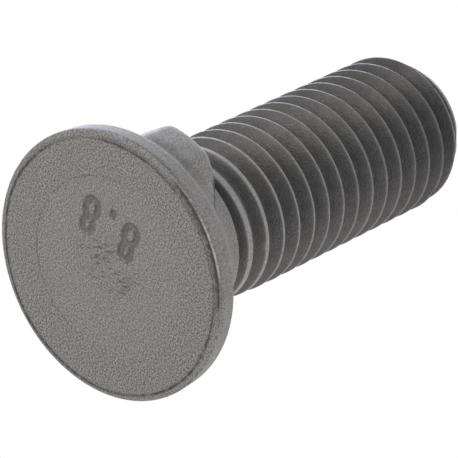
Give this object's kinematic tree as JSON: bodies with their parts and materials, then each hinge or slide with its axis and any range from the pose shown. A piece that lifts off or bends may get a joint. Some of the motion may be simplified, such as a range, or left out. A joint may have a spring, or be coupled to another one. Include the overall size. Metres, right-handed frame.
{
  "type": "plow bolt",
  "caption": "Flat round countersunk bolt with keying nibs under the head, a short plain neck and a coarse rolled thread to the end.",
  "frame": {"origin": "centre of the head's flat face, on which the bolt stands", "axes": "+Z along the bolt's axis from the head to the thread end, +X through the middle of one nib"},
  "size_m": [0.0198, 0.0198, 0.035],
  "materials": {
    "steel": "matt phosphated, plain dark grey"
  },
  "bodies": {
    "root": {"plow_bolt": "steel"}
  },
  "joints": []
}
